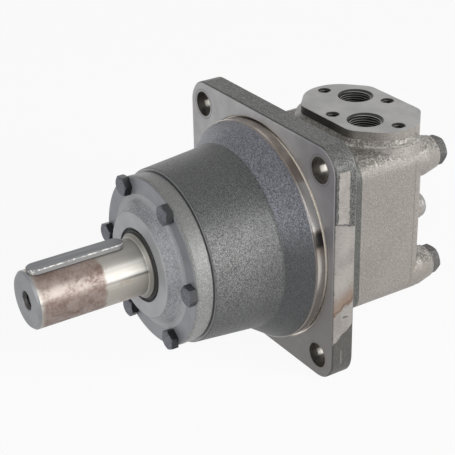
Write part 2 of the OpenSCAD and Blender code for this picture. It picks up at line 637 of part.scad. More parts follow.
// Coil springs: the flat section of a wire on a helix, turned as it rises
module coil(r, wire, pitch, h) {
    a = 180 * wire / pitch;
    linear_extrude(h, twist = -360 * h / pitch, slices = 27, $fn = 8) polygon([
        for (i = [0:11]) let (t = 30 * i, q = r + wire / 2 * sin(t), f = a * cos(t))
            [q * cos(f), q * sin(f)]]);
}
module check_spring(s) color([0.6, 0.6, 0.6])
    translate([s * chk_x, y_seat + ball_y + 3.15, chk_z])
        rotate([-90, 0, 0]) coil(3, 0.8, 1.7, 13.2 - ball_y - 3.15);
// Threaded plugs with a low domed head
module check_plugs() color([0.66, 0.65, 0.62]) for (s = [-1, 1]) translate([s * chk_x, 0, chk_z]) {
    y0 = y_rear + chk_out;
    yrev() polygon(concat([[0, y_seat + 13.3], [6.45, y_seat + 13.3], [6.45, y0], [plug_r, y0],
        [plug_r, y0 + 1.6]], arc(plug_r - 3.9, y0 + 1.6, 3.9, 0, 60, 4),
        [[plug_r - 4.1, y0 + 5.2], [0, y0 + 5.4]]));
}
module drain_plug() color([0.3, 0.3, 0.3])
    translate([-half - 1.5, y_seat + 9.5, chk_z]) rotate([0, 90, 0])
        hex_bolt(drain_r - thread_gap, 17, 6, 9.5, 10);
module drain_washer() color([0.7, 0.45, 0.25])
    translate([-half - 1.5, y_seat + 9.5, chk_z]) rotate([0, 90, 0]) difference() {
        cylinder(r = 9.4, h = 1.5);
        translate([0, 0, -1]) cylinder(r = drain_r + thread_gap, h = 4);
    }

bearing_housing();
front_cover();
cover_bolts();
cover_oring();
shaft_seal();
dust_wiper();
output_shaft();
shaft_key();
bearing_shim();
front_bearing_cup();
front_bearing_cone();
front_bearing_rollers();
front_bearing_cage();
rear_bearing_cup();
rear_bearing_cone();
rear_bearing_rollers();
rear_bearing_cage();
drive_link();
wear_plate();
wear_plate_oring();
gear_ring();
gear_ring_orings();
stator_roller(0);  // stator_roller_1
stator_roller(1);  // stator_roller_2
stator_roller(2);  // stator_roller_3
stator_roller(3);  // stator_roller_4
stator_roller(4);  // stator_roller_5
stator_roller(5);  // stator_roller_6
stator_roller(6);  // stator_roller_7
rotor();
stop_disc();
valve_link();
channel_plate();
channel_plate_oring();
disc_valve();
balance_plate();
balance_orings();
balance_spring();
balance_pins();
port_housing();
tie_bolts();
check_ball(1);  // check_ball_1
check_ball(-1);  // check_ball_2
check_spring(1);  // check_spring_1
check_spring(-1);  // check_spring_2
check_plugs();
drain_plug();
drain_washer();
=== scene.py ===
"""Looks of the hydraulic wheel motor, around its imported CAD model.

The scene is in metres. Masks are written in millimetres in the part's own frame: x to the
right, y from the flange's front face to the rear, z up from the shaft's axis. Noise
frequencies are per metre. A colour constant with two tuples runs from dark to light.
"""

import json
import math

import bmesh
import bpy
from mathutils import Matrix, Vector


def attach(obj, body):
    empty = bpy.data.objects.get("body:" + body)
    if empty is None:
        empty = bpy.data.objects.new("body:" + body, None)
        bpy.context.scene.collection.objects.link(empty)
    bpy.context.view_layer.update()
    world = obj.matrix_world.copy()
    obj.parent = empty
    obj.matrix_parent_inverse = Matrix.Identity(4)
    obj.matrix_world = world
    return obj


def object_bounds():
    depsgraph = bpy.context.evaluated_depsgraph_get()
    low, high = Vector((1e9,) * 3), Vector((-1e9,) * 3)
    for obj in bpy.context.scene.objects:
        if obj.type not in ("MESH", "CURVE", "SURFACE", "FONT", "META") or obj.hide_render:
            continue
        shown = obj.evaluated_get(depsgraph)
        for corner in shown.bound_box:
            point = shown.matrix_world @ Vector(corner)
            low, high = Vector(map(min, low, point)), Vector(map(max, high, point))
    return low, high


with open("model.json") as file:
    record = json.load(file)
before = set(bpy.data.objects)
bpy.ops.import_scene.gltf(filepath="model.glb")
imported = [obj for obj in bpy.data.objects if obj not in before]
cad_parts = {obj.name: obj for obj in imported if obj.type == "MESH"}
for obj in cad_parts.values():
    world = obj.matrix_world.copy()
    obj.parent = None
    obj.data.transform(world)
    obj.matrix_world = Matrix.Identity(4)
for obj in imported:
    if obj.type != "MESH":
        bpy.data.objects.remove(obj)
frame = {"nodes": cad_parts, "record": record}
cad_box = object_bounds()
nodes = frame["nodes"]

MM = 0.001

# Sizes and places on the part that the masks and threads follow, in millimetres. HUB_FOOT_R is
# where the hub's fillet meets the cover, SHOULDER_Y lies on the shoulder in front of the wiper,
# and BLOCK_CORNER is |x| + |z| on the rounded corners of the stacked plates.
FLANGE_HALF, FLANGE_T = 87.5, 18.0
HOLE_AT, HOLE_R = 70.71, 9.0
PILOT_R, PILOT_Y = 80.0, -8.0
FLARE_Y = -25.0
JOINT_Y = -76.0
COVER_R, COVER_Y = 60.0, -89.5
HUB_FOOT_R, RING_Y = 48.0, -98.4
SHOULDER_Y = -101.8
BLOCK_HALF, BLOCK_CORNER = 59.0, 102.0
BOSS_Y = 117.5
PAD_Z = 70.3
PORTS = {"a": (-20.25, 100.2), "b": (20.25, 77.2)}
PORT_R, PORT_PITCH, PORT_DEPTH = 12.05, 1.814, 0.95
SMALL_R, SMALL_PITCH, SMALL_DEPTH = 4.25, 1.5, 0.55
SMALL_DX, SMALL_DY = 21.5, 12.4
END_R, END_PITCH, END_DEPTH = 5.1, 1.75, 0.6


def small_holes(px, py):
    """Axes of the two manifold holes that flank a port."""
    return [(px + side * SMALL_DX, py + side * SMALL_DY) for side in (-1, 1)]


# Node helpers
class Tree:
    """Builds one material's node tree with short calls."""

    def __init__(self, name):
        self.mat = bpy.data.materials.new(name)
        self.mat.use_nodes = True
        self.nt = self.mat.node_tree
        self.nt.nodes.clear()
        out = self.add("ShaderNodeOutputMaterial")
        self.bsdf = self.add("ShaderNodeBsdfPrincipled")
        self.nt.links.new(self.bsdf.outputs[0], out.inputs[0])
        coord = self.add("ShaderNodeTexCoord")
        self.pos = coord.outputs["Object"]
        self.xyz = self.split(self.scaled(1 / MM, 1 / MM, 1 / MM))
        self.nxyz = self.split(coord.outputs["Normal"])

    def add(self, kind, **props):
        n = self.nt.nodes.new(kind)
        for k, v in props.items():
            setattr(n, k, v)
        return n

    def put(self, socket, value):
        if isinstance(value, bpy.types.NodeSocket):
            self.nt.links.new(value, socket)
        else:
            socket.default_value = value

    def split(self, vec):
        n = self.add("ShaderNodeSeparateXYZ")
        self.put(n.inputs[0], vec)
        return n.outputs[0], n.outputs[1], n.outputs[2]

    def join(self, x, y, z):
        n = self.add("ShaderNodeCombineXYZ")
        for s, v in zip(n.inputs, (x, y, z)):
            self.put(s, v)
        return n.outputs[0]

    def math(self, op, a, b=0.0):
        n = self.add("ShaderNodeMath", operation=op)
        for s, v in zip(n.inputs, (a, b)):
            self.put(s, v)
        return n.outputs[0]

    def step(self, v, lo, hi):
        """0 below lo, 1 above hi, smooth between; lo > hi turns it round."""
        n = self.add("ShaderNodeMapRange", interpolation_type="SMOOTHSTEP")
        flip = lo > hi
        self.put(n.inputs["Value"], v)
        n.inputs["From Min"].default_value = min(lo, hi)
        n.inputs["From Max"].default_value = max(lo, hi)
        n.inputs["To Min"].default_value = 1.0 if flip else 0.0
        n.inputs["To Max"].default_value = 0.0 if flip else 1.0
        return n.outputs["Result"]

    def times(self, *vs):
        r = vs[0]
        for v in vs[1:]:
            r = self.math("MULTIPLY", r, v)
        return r

    def plus(self, *vs):
        r = vs[0]
        for v in vs[1:]:
            r = self.math("ADD", r, v)
        return r

    def either(self, *vs):
        r = vs[0]
        for v in vs[1:]:
            r = self.math("MAXIMUM", r, v)
        return r

    def size(self, v):
        return self.math("ABSOLUTE", v)

    def band(self, v, lo, hi, soft):
        return self.times(self.step(v, lo - soft, lo + soft), self.step(v, hi + soft, hi - soft))

    def noise(self, scale, detail=3.0, rough=0.55, vec=None, dist=0.0):
        n = self.add("ShaderNodeTexNoise")
        self.put(n.inputs["Vector"], vec if vec is not None else self.pos)
        n.inputs["Scale"].default_value = scale
        n.inputs["Detail"].default_value = detail
        n.inputs["Roughness"].default_value = rough
        n.inputs["Distortion"].default_value = dist
        return n.outputs["Fac"]

    def lines(self, detail, *freq):
        """Noise drawn out along the axes whose frequency is low."""
        return self.noise(1.0, detail, 0.6, vec=self.scaled(*freq))

    def scaled(self, sx, sy, sz):
        n = self.add("ShaderNodeVectorMath", operation="MULTIPLY")
        self.put(n.inputs[0], self.pos)
        n.inputs[1].default_value = (sx, sy, sz)
        return n.outputs[0]

    def mix(self, f, a, b):
        n = self.add("ShaderNodeMix", data_type="RGBA")
        self.put(n.inputs[0], f)
        self.put(n.inputs[6], a if not isinstance(a, tuple) else (*a, 1.0))
        self.put(n.inputs[7], b if not isinstance(b, tuple) else (*b, 1.0))
        return n.outputs[2]

    def tint(self, color, mask, share, over):
        """Moves the colour towards over, by share of the way where the mask is 1."""
        return self.mix(self.times(mask, share), color, over)

    def blend(self, f, a, b):
        n = self.add("ShaderNodeMix", data_type="FLOAT")
        self.put(n.inputs[0], f)
        self.put(n.inputs[2], a)
        self.put(n.inputs[3], b)
        return n.outputs[0]

    def length(self, a, b):
        return self.math("SQRT", self.plus(self.times(a, a), self.times(b, b)))

    def radius(self, cx=0.0, cz=0.0):
        """Distance from a line along Y through (cx, cz)."""
        x, _, z = self.xyz
        return self.length(self.math("SUBTRACT", x, cx), self.math("SUBTRACT", z, cz))

    def around(self, lo, hi, soft):
        """Mask of an angle range about the shaft's axis, in degrees from +X towards +Z."""
        angle = self.math("ARCTAN2", self.xyz[2], self.xyz[0])
        return self.band(angle, math.radians(lo), math.radians(hi), math.radians(soft))

    def bump(self, height, distance, strength=1.0):
        n = self.add("ShaderNodeBump")
        n.inputs["Strength"].default_value = strength
        n.inputs["Distance"].default_value = distance
        self.put(n.inputs["Height"], height)
        return n.outputs[0]

    def done(self, color, rough, metal, normal):
        self.put(self.bsdf.inputs["Base Color"], color)
        self.put(self.bsdf.inputs["Roughness"], rough)
        self.put(self.bsdf.inputs["Metallic"], metal)
        self.put(self.bsdf.inputs["Normal"], normal)
        return self.mat


# Shared surfaces
def grain_layers(t, colors, freq, sparkle):
    """Colour, roughness and height of a shot-blasted casting with grains of this frequency."""
    dark, light = colors
    fine = t.noise(freq, 2.0, 0.6)
    sand = t.noise(freq * 0.42, 2.0, 0.6)
    cloud = t.noise(30.0, 3.0, 0.55)
    f = t.plus(t.times(fine, 0.60), t.plus(t.times(sand, 0.25), t.times(cloud, 0.15)))
    tone = t.mix(t.step(f, 0.40, 0.60), dark, light)
    # sparkle lightens the brightest grains as painted glints, a painted highlight on the grain tips
    bright = tuple(min(0.8, 1.7 * v) for v in light)
    tone = t.tint(tone, t.step(fine, 0.58, 0.72), sparkle, bright)
    height = t.plus(t.times(fine, 0.55), t.times(sand, 0.75))
    return tone, t.blend(fine, 0.56, 0.40), height


def turned_layers(t, colors, rings_per_mm):
    """Colour and height of a face turned in rings about the shaft's axis."""
    turns = t.times(t.radius(), rings_per_mm)
    rings = t.noise(1.0, 2.0, 0.6, vec=t.join(turns, 0.0, 0.0))
    cloud = t.noise(70.0, 3.0, 0.6)
    f = t.plus(t.times(rings, 0.45), t.times(cloud, 0.55))
    return t.mix(t.step(f, 0.34, 0.66), *colors), rings


def layered(t, layers):
    """Blends (mask, colour, roughness, metallic, height) layers from the first upwards."""
    _, color, rough, metal, height = layers[0]
    for mask, c, ro, me, he in layers[1:]:
        color = t.mix(mask, color, c)
        rough = t.blend(mask, rough, ro)
        metal = t.blend(mask, metal, me)
        height = t.blend(mask, height, he)
    return color, rough, metal, height


# Front housing
NOSE = (0.066, 0.067, 0.067), (0.238, 0.240, 0.237)
NOSE_SHADE = (0.029, 0.030, 0.031), (0.104, 0.105, 0.107)
FLARE = (0.082, 0.085, 0.099), (0.260, 0.266, 0.302)
FLARE_LOW_SHADE = (0.034, 0.036, 0.036), (0.082, 0.085, 0.085)
EDGE = (0.052, 0.053, 0.050), (0.170, 0.170, 0.163)
EDGE_RIM_HIGHLIGHT, EDGE_LINE, EDGE_LOW = (0.34, 0.34, 0.33), (0.045, 0.043, 0.042), (0.082, 0.077, 0.070)
FACE = (0.395, 0.390, 0.397), (0.520, 0.514, 0.520)
FACE_LOW_SHADE = (0.118, 0.110, 0.101), (0.235, 0.223, 0.210)
FACE_RIGHT_SHADE, FACE_RING = (0.225, 0.205, 0.222), (0.11, 0.10, 0.10)
PILOT = (0.26, 0.215, 0.185), (0.46, 0.415, 0.375)
PILOT_BRIGHT_REFLECTION, PILOT_DARK_REFLECTION = (0.62, 0.62, 0.60), (0.030, 0.030, 0.029)
PILOT_LOW_REFLECTION, PILOT_RIM = (0.55, 0.52, 0.48), (0.13, 0.11, 0.10)
GROOVE_PAINTED_LIGHT = (0.40, 0.37, 0.33), (0.80, 0.765, 0.715)
JOINT = (0.30, 0.30, 0.31)
MILLED = (0.30, 0.277, 0.255), (0.46, 0.430, 0.400)
MILLED_LOW, SMEAR, SMEAR_END = (0.22, 0.205, 0.19), (0.25, 0.165, 0.115), (0.15, 0.085, 0.055)
DASH = (0.05, 0.045, 0.04)
BORE = (0.085, 0.077, 0.068), (0.20, 0.185, 0.165)
GLINT = (0.62, 0.59, 0.54)


def flange_edge_tone(t, tone):
    """The flange's rough edge: painted highlight along the rear rim, dark front line, smoother lower right
    part.
    """
    x, y, z = t.xyz
    out = t.either(t.size(x), t.size(z))
    # Painted highlight: a light broken line along the rear rim.
    rim = t.times(t.step(out, FLANGE_HALF - 1.7, FLANGE_HALF - 0.9),
                  t.step(y, FLANGE_T - 1.4, FLANGE_T - 0.6), t.step(t.noise(260.0, 2.0), 0.35, 0.55))
    tone = t.tint(tone, rim, 0.7, EDGE_RIM_HIGHLIGHT)
    front = t.times(t.step(out, FLANGE_HALF - 1.5, FLANGE_HALF - 1.1), t.step(y, 1.5, 1.1))
    tone = t.tint(tone, front, 0.7, EDGE_LINE)
    low = t.times(t.step(x, 80.0, 84.0), t.step(z, 30.0, 10.0))
    return t.tint(tone, low, 0.75, EDGE_LOW)


def flange_face_tone(t, tone):
    """The flange's turned face: rings around the holes, and painted shade that darkens it to the right and
    below.
    """
    x, _, z = t.xyz
    for cx in (-HOLE_AT, HOLE_AT):
        for cz in (-HOLE_AT, HOLE_AT):
            ring = t.band(t.radius(cx, cz), HOLE_R + 1.4, HOLE_R + 2.2, 0.3)
            tone = t.tint(tone, ring, 0.6, FACE_RING)
    # Painted shade: darker to the right and below.
    tone = t.tint(tone, t.step(x, 35.0, 70.0), 0.55, FACE_RIGHT_SHADE)
    return t.tint(tone, t.step(z, 30.0, -50.0), 0.80, t.mix(t.noise(900.0, 2.0, 0.6), *FACE_LOW_SHADE))


def pilot_wall_tone(t, tone):
    """The pilot's polished wall, with painted reflections: bright and dark bands by the angle about the
    shaft's axis.
    """
    # Painted reflections: a bright band, a dark band and a lighter lower side.
    tone = t.tint(tone, t.around(22.0, 46.0, 1.2), 0.9, PILOT_BRIGHT_REFLECTION)
    tone = t.tint(tone, t.around(13.0, 21.0, 1.5), 0.94, PILOT_DARK_REFLECTION)
    tone = t.tint(tone, t.around(-40.0, 10.0, 4.0), 0.7, PILOT_LOW_REFLECTION)
    return t.tint(tone, t.step(t.xyz[1], PILOT_Y + 1.0, PILOT_Y + 0.6), 0.8, PILOT_RIM)


def milled_patches(t):
    """Mask and colour of the ragged clean-up areas on the flange's right edge."""
    x, y, z = t.xyz
    rag = t.math("SUBTRACT", t.noise(170.0, 4.0, 0.65), 0.5)
    ragged_y = t.plus(y, t.times(rag, 4.5))
    split_z = t.plus(z, t.times(y, 0.29), t.times(rag, 5.0))
    upper = t.times(t.band(ragged_y, 3.0, 12.0, 0.3), t.step(split_z, 38.2, 38.8),
                    t.step(t.plus(z, t.times(rag, 10.0)), 76.5, 75.0))
    low_z = t.plus(z, t.times(y, -0.75), t.times(rag, 12.0))
    rear_y = t.plus(y, t.times(z, z, 0.0009), t.times(rag, 1.6))
    lower = t.times(t.step(ragged_y, 0.0, 0.9), t.step(rear_y, 18.5, 17.8),
                    t.step(split_z, 37.2, 36.8), t.step(low_z, -55.4, -54.6))
    scribed = t.times(t.band(t.plus(y, t.times(rag, 2.0)), 7.0, 8.4, 0.3),
                      t.band(z, -72.0, -61.0, 1.0), 0.35)
    mask = t.times(t.step(x, FLANGE_HALF - 0.7, FLANGE_HALF - 0.3), t.either(upper, lower, scribed))

    cuts = t.lines(3.0, 0.0, 300.0, 1400.0)
    mottle = t.plus(t.times(cuts, 0.5), t.times(t.noise(60.0, 3.0, 0.6), 0.5))
    tone = t.mix(t.step(mottle, 0.36, 0.64), *MILLED)
    tone = t.tint(tone, t.step(z, 38.0, 36.0), 0.22, MILLED_LOW)
    slope = t.plus(z, t.times(y, -0.50), t.times(rag, 9.0))
    smear = t.times(t.step(slope, -33.0, -31.0), t.step(slope, -13.0, -29.0))
    tone = t.tint(tone, smear, 0.75, SMEAR)
    tone = t.tint(tone, t.band(slope, -32.8, -30.0, 1.2), 0.65, SMEAR_END)
    dash = t.times(t.band(y, 8.5, 12.5, 0.4), t.band(z, -35.8, -34.6, 0.2))
    return mask, t.tint(tone, dash, 0.85, DASH), t.times(cuts, 0.12)


def flange_bores(t):
    """Mask and colour of the four flange holes, with a painted highlight on each wall."""
    bores, glint = 0.0, 0.0
    for cz in (-HOLE_AT, HOLE_AT):
        glint = t.either(t.band(t.xyz[2], cz - 5.8, cz - 1.6, 0.6), glint)
        for cx in (-HOLE_AT, HOLE_AT):
            bores = t.either(t.step(t.radius(cx, cz), HOLE_R + 0.6, HOLE_R + 0.3), bores)
    tone = t.mix(t.step(t.noise(160.0, 3.0), 0.35, 0.65), *BORE)
    return bores, t.mix(t.times(glint, t.band(t.xyz[1], 6.4, 11.6, 0.6)), tone, GLINT)


def housing_material():
    t = Tree("housing_iron_look")
    x, y, z = t.xyz
    r = t.radius()
    tone, rough, height = grain_layers(t, NOSE, 1400.0, 0.50)
    # Painted shade on the nose: darker towards the flare side, on the top and on the underside.
    shade = t.either(t.times(t.step(y, -60.0, -28.0), 0.50), t.times(t.step(z, 20.0, 54.0), 0.80),
                     t.times(t.step(z, 8.0, -36.0), 0.80))
    speck = t.step(t.noise(1400.0, 2.0, 0.6), 0.36, 0.66)
    tone = t.mix(shade, tone, t.mix(speck, *NOSE_SHADE))

    flare_tone, flare_rough, flare_height = grain_layers(t, FLARE, 1250.0, 0.40)
    # Painted shade: the flare darker below.
    low_flare_shade = t.mix(t.step(t.noise(1250.0, 2.0, 0.6), 0.34, 0.68), *FLARE_LOW_SHADE)
    flare_tone = t.tint(flare_tone, t.step(z, 46.0, 10.0), 0.92, low_flare_shade)
    flare = t.times(t.step(y, FLARE_Y - 0.6, FLARE_Y + 0.2), t.step(y, PILOT_Y + 1.0, PILOT_Y + 0.2),
                    t.step(r, PILOT_R + 1.5, PILOT_R + 1.0))

    edge_tone, edge_rough, edge_height = grain_layers(t, EDGE, 900.0, 0.25)
    edge = t.times(t.step(y, 0.1, 0.4), t.step(r, PILOT_R, PILOT_R + 0.5))
    face_tone, rings = turned_layers(t, FACE, 2.6)
    face = t.times(t.step(y, -0.6, -0.2), t.step(y, 0.6, 0.3), t.step(r, PILOT_R - 0.5, PILOT_R + 0.5))
    pilot_tone, pilot_rings = turned_layers(t, PILOT, 3.0)
    pilot = t.times(t.step(y, PILOT_Y - 0.6, PILOT_Y + 0.2), t.step(y, -0.8, -1.1),
                    t.step(r, PILOT_R - 1.5, PILOT_R - 0.8))
    # Painted light: the relief groove coloured bright against its own shade, brighter to the right.
    groove_lit_tone = t.mix(t.step(x, -10.0, 30.0), *GROOVE_PAINTED_LIGHT)
    groove = t.times(t.band(y, -1.0, 2.7, 0.1), t.step(r, PILOT_R - 2.8, PILOT_R - 2.4),
                     t.step(r, PILOT_R + 1.4, PILOT_R + 1.1))
    joint = t.step(y, JOINT_Y + 0.5, JOINT_Y + 0.1)
    milled, milled_tone, cuts = milled_patches(t)
    bores, bore_tone = flange_bores(t)
    color, ro, me, he = layered(t, [
        (None, tone, rough, 0.22, height),
        (flare, flare_tone, flare_rough, 0.15, flare_height),
        (edge, flange_edge_tone(t, edge_tone), edge_rough, 0.18, edge_height),
        (face, flange_face_tone(t, face_tone), 0.46, 0.45, t.times(rings, 0.08)),
        (pilot, pilot_wall_tone(t, pilot_tone), 0.22, 0.92, t.times(pilot_rings, 0.06)),
        (groove, groove_lit_tone, 0.24, 0.95, t.times(pilot_rings, 0.03)),
        (joint, JOINT, 0.35, 0.7, t.times(rings, 0.10)),
        (milled, milled_tone, 0.38, 0.35, cuts),
        (bores, bore_tone, 0.46, 0.6, t.times(rings, 0.05)),
    ])
    return t.done(color, ro, me, t.bump(he, 0.00045, 0.9))


# Cover
COVER_RIM = (0.220, 0.223, 0.216), (0.330, 0.333, 0.321)
COVER_RIM_SHADE = (0.070, 0.071, 0.070), (0.215, 0.218, 0.212)
ANNULUS = (0.265, 0.274, 0.296), (0.325, 0.335, 0.358)
HUB = (0.245, 0.252, 0.270), (0.470, 0.479, 0.505)
HUB_INNER_SHADE = (0.130, 0.134, 0.145), (0.340, 0.347, 0.362)
HUB_RIDGE_HIGHLIGHT = (0.36, 0.368, 0.386), (0.62, 0.63, 0.65)
RING_FACE = (0.440, 0.447, 0.467), (0.530, 0.537, 0.555)


def cover_material():
    t = Tree("cover_iron_look")
    _, y, z = t.xyz
    r = t.radius()
    tone, rough, height = grain_layers(t, COVER_RIM, 1100.0, 0.30)
    # Painted shade: the rim darker above.
    tone = t.tint(tone, t.step(z, 8.0, 48.0), 0.62, t.mix(t.noise(1100.0, 2.0, 0.6), *COVER_RIM_SHADE))
    hub_tone, hub_rough, hub_height = grain_layers(t, HUB, 1250.0, 0.45)
    speck = t.noise(1250.0, 2.0, 0.6)
    # Painted shade on the inner hub and a painted highlight on the ridge near its foot.
    hub_tone = t.tint(hub_tone, t.step(r, 40.0, 35.0), 0.55, t.mix(speck, *HUB_INNER_SHADE))
    hub_tone = t.tint(hub_tone, t.step(r, 40.0, 44.5), 0.55, t.mix(speck, *HUB_RIDGE_HIGHLIGHT))
    hub = t.times(t.step(y, COVER_Y + 1.0, COVER_Y), t.step(r, HUB_FOOT_R + 0.2, HUB_FOOT_R - 0.6))
    annulus_tone, rings = turned_layers(t, ANNULUS, 3.4)
    annulus = t.times(t.step(y, COVER_Y + 0.4, COVER_Y + 0.2),
                      t.step(r, HUB_FOOT_R - 0.6, HUB_FOOT_R + 0.2), t.step(r, COVER_R, COVER_R - 0.6))
    ring_tone, ring_lines = turned_layers(t, RING_FACE, 4.2)
    ring = t.step(y, RING_Y + 0.6, RING_Y + 0.2)
    color, ro, me, he = layered(t, [
        (None, tone, rough, 0.25, height),
        (annulus, annulus_tone, 0.44, 0.30, t.times(rings, 0.05)),
        (hub, hub_tone, hub_rough, 0.15, hub_height),
        (ring, ring_tone, 0.48, 0.25, t.times(ring_lines, 0.05)),
    ])
    return t.done(color, ro, me, t.bump(he, 0.0004, 0.8))


# Port housing
BLOCK = (0.258, 0.236, 0.215), (0.362, 0.334, 0.307)
BLOCK_TOP_SHADE_AND_GLINTS = (0.120, 0.110, 0.096), (0.42, 0.405, 0.375)
BLOCK_WARM, BLOCK_SEAM = (0.33, 0.275, 0.225), (0.14, 0.125, 0.11)
PAD = (0.335, 0.332, 0.328), (0.430, 0.425, 0.417)
PAD_STAIN, PAD_FOOT_HIGHLIGHT = (0.27, 0.235, 0.205), (0.56, 0.54, 0.50)
PAD_WALL_SHADE = (0.030, 0.029, 0.028), (0.130, 0.124, 0.116)
HOLE_WALL_SHADE = (0.030, 0.029, 0.027)
PORT_MOUTH_R, PORT_LOW_Z = 13.25, 40.0
SMALL_MOUTH_R, SMALL_LOW_Z = 5.05, 59.0


def hole_mask(t, cx, cy, mouth_r, low_z):
    """Mask of the wall of a hole bored down from the port face, where it faces its own axis."""
    x, y, z = t.xyz
    dx = t.math("SUBTRACT", x, cx)
    dy = t.math("SUBTRACT", y, cy)
    outward = t.plus(t.times(dx, t.nxyz[0]), t.times(dy, t.nxyz[1]))
    return t.times(t.step(t.length(dx, dy), mouth_r, mouth_r - 0.2),
                   t.step(z, PAD_Z + 0.7, PAD_Z + 0.4), t.step(z, low_z, low_z + 1.0),
                   t.step(outward, 1.0, 0.6))


def body_material():
    t = Tree("body_iron_look")
    x, y, z = t.xyz
    nz = t.nxyz[2]
    tone, rough, height = grain_layers(t, BLOCK, 1100.0, 0.22)
    tone = t.tint(tone, t.step(t.noise(26.0, 3.0), 0.52, 0.70), 0.25, BLOCK_WARM)
    seam = t.times(t.band(t.plus(y, t.noise(90.0)), 92.5, 93.4, 0.4),
                   t.step(x, BLOCK_HALF - 1.0, BLOCK_HALF - 0.2))
    tone = t.tint(tone, seam, 0.45, BLOCK_SEAM)
    # Faces turned up get their own tone as painted light: darker grains with many painted glints.
    top_tone, top_rough, top_height = grain_layers(t, BLOCK_TOP_SHADE_AND_GLINTS, 700.0, 0.70)
    top = t.times(t.step(nz, 0.25, 0.75), 0.85)

    cuts = t.lines(2.0, 900.0, 120.0, 0.0)
    cloud = t.noise(45.0, 3.0, 0.6)
    pad_tone = t.mix(t.step(cloud, 0.3, 0.7), *PAD)
    pad_tone = t.tint(pad_tone, t.step(t.noise(38.0, 4.0, 0.7, dist=0.6), 0.58, 0.72), 0.30, PAD_STAIN)
    pad = t.step(z, PAD_Z - 0.3, PAD_Z - 0.1)
    # Painted highlight: a light line along the foot of the pad's fillet on the right.
    foot = t.times(t.band(z, 60.3, 61.2, 0.4), t.step(x, 12.0, 30.0),
                   t.step(t.noise(300.0, 2.0), 0.38, 0.56))
    # Painted shade: the pad's side wall near black on its left part.
    wall = t.times(t.step(z, 60.8, 62.0), t.step(z, PAD_Z + 0.1, PAD_Z - 0.3), t.step(nz, 0.35, 0.15),
                   t.step(x, 30.0, 5.0), 0.85)
    wall_tone = t.mix(t.step(t.noise(800.0, 2.0, 0.6), 0.45, 0.68), *PAD_WALL_SHADE)
    # Painted shade: the walls of the port and manifold holes near black.
    holes = 0.0
    for px, py in PORTS.values():
        holes = t.either(hole_mask(t, px, py, PORT_MOUTH_R, PORT_LOW_Z), holes)
        for cx, cy in small_holes(px, py):
            holes = t.either(hole_mask(t, cx, cy, SMALL_MOUTH_R, SMALL_LOW_Z), holes)
    bosses = t.times(t.step(y, BOSS_Y - 0.2, BOSS_Y - 0.1), t.step(t.size(x), 27.0, 28.0),
                     t.step(t.size(z), 60.6, 59.8))
    color, ro, me, he = layered(t, [
        (None, tone, rough, 0.22, height),
        (top, top_tone, top_rough, 0.25, top_height),
        (wall, wall_tone, rough, 0.22, height),
        (foot, PAD_FOOT_HIGHLIGHT, 0.40, 0.30, height),
        (pad, pad_tone, 0.38, 0.50, t.times(cuts, 0.08)),
        (holes, HOLE_WALL_SHADE, 0.40, 0.5, t.times(cloud, 0.05)),
        (bosses, pad_tone, 0.38, 0.55, t.times(cuts, 0.10)),
    ])
    return t.done(color, ro, me, t.bump(he, 0.0005, 0.9))


# Shaft and key
CLEAN = (0.33, 0.325, 0.30), (0.44, 0.43, 0.40)
CLEAN_HIGHLIGHT, CLEAN_LOW_REFLECTION = (0.28, 0.270, 0.248), (0.40, 0.375, 0.335)
CLEAN_DARK_REFLECTION, CLEAN_TOP_SHADE, CLEAN_SPOT = (0.055, 0.052, 0.047), (0.300, 0.285, 0.262), (0.24, 0.175, 0.135)
STAIN = (0.165, 0.112, 0.090), (0.315, 0.255, 0.228)
STAIN_HIGHLIGHT = (0.46, 0.41, 0.37)
SHAFT_END = (0.245, 0.248, 0.262), (0.315, 0.318, 0.332)
SHAFT_SINK, JOURNAL = (0.060, 0.058, 0.056), (0.215, 0.205, 0.185)
KEY = (0.150, 0.152, 0.160), (0.225, 0.228, 0.236)
KEY_SIDE_LIT, KEY_EDGE_HIGHLIGHT, KEY_FOOT_SHADE = (0.36, 0.358, 0.352), (0.75, 0.74, 0.71), (0.030, 0.028, 0.026)


